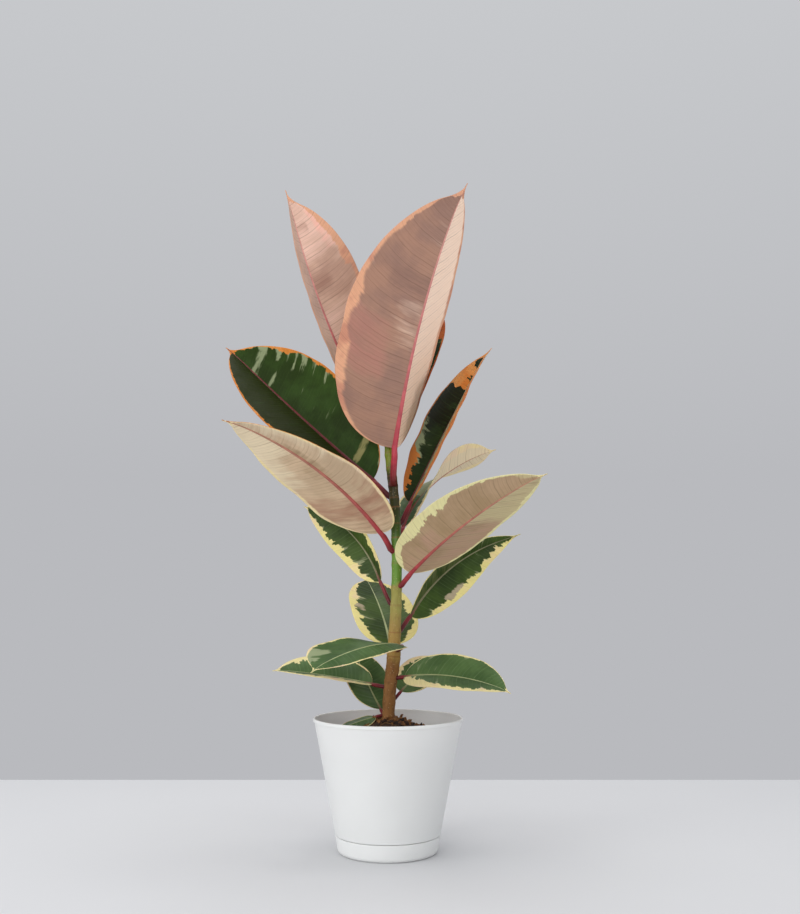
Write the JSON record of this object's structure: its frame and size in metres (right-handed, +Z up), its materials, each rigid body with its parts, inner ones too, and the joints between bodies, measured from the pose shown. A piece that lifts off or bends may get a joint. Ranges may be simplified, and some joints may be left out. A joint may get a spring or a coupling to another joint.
{
  "type": "potted rubber plant",
  "caption": "Young variegated rubber plant with oval, pointed leaves spiralling up a slim stem, in a tapered round plastic pot that stands in a shallow saucer.",
  "frame": {"origin": "middle of the saucer's flat underside, which rests on the floor", "axes": "+Z up along the pot's axis, +X to the right and -Y towards the viewer in the front view"},
  "size_m": [0.3365, 0.1949, 0.6667],
  "materials": {
    "pot_plastic": "satin white moulded polypropylene",
    "potting_mix": "loose peat and coir",
    "stem_bark": "thin ringed bark",
    "bud_sheath": "smooth satin",
    "mature_leaf": "waxy, cream margin",
    "young_leaf": "satin, peach margin"
  },
  "bodies": {
    "root": {"saucer": "pot_plastic", "pot": "pot_plastic", "potting_mix": "potting_mix", "stem": "stem_bark", "terminal_bud": "bud_sheath", "leaf_01": "mature_leaf", "leaf_02": "mature_leaf", "leaf_03": "mature_leaf", "leaf_04": "mature_leaf", "leaf_05": "mature_leaf", "leaf_06": "mature_leaf", "leaf_07": "mature_leaf", "leaf_08": "mature_leaf", "leaf_09": "mature_leaf", "leaf_10": "mature_leaf", "leaf_11": "mature_leaf", "leaf_12": "mature_leaf", "leaf_13": "mature_leaf", "leaf_14": "mature_leaf", "leaf_15": "young_leaf", "leaf_16": "young_leaf", "leaf_17": "young_leaf"}
  },
  "joints": []
}
